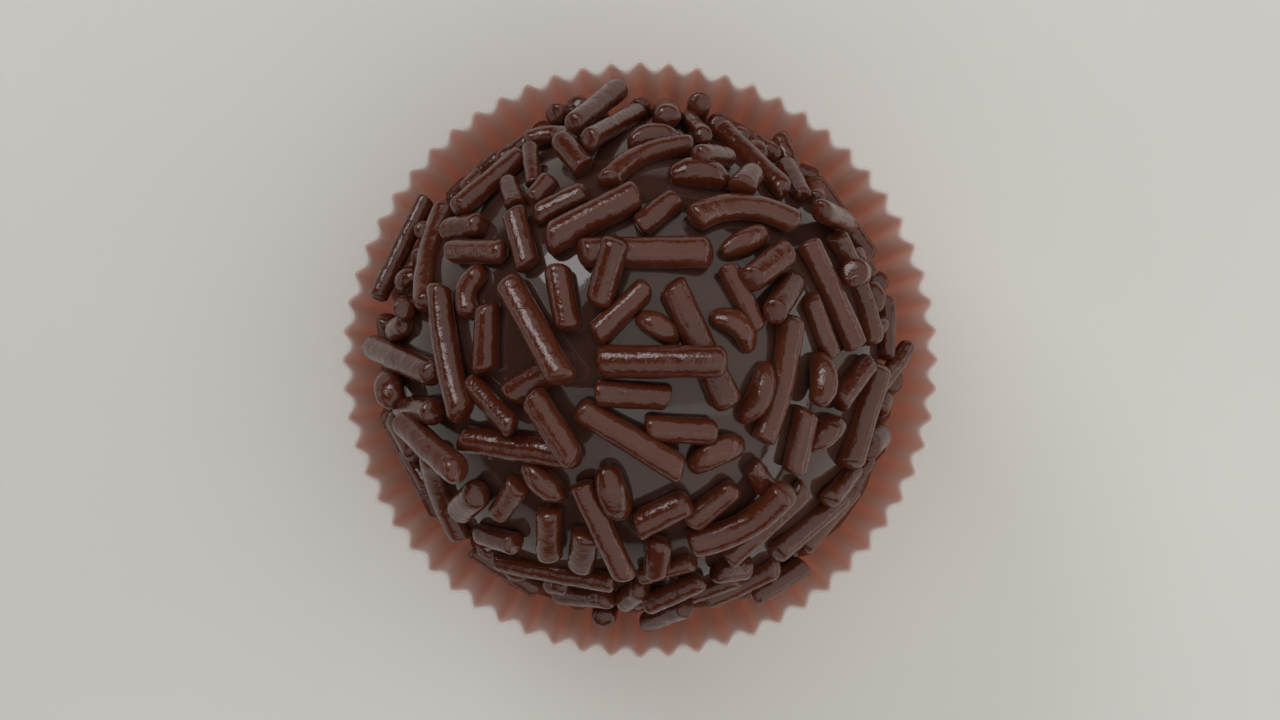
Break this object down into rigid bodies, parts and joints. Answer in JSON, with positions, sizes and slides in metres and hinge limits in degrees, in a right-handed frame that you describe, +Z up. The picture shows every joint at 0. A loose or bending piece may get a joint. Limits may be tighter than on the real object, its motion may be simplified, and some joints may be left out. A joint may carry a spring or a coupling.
{
  "type": "brigadeiro",
  "caption": "Round chocolate fudge ball coated in chocolate sprinkles, resting in a small pleated paper case.",
  "frame": {"origin": "centre of the paper case's underside, on the surface it stands on", "axes": "+Z up through the crown of the ball, +X through a crest of the case's pleats"},
  "size_m": [0.0366, 0.0366, 0.0333],
  "materials": {
    "chocolate": "glossy dark milk chocolate sprinkles on smooth greyish brown fudge",
    "paper": "thin matt salmon greaseproof paper, pale at its cut edge"
  },
  "bodies": {
    "root": {"brigadeiro": "chocolate", "paper_case": "paper"}
  },
  "joints": []
}
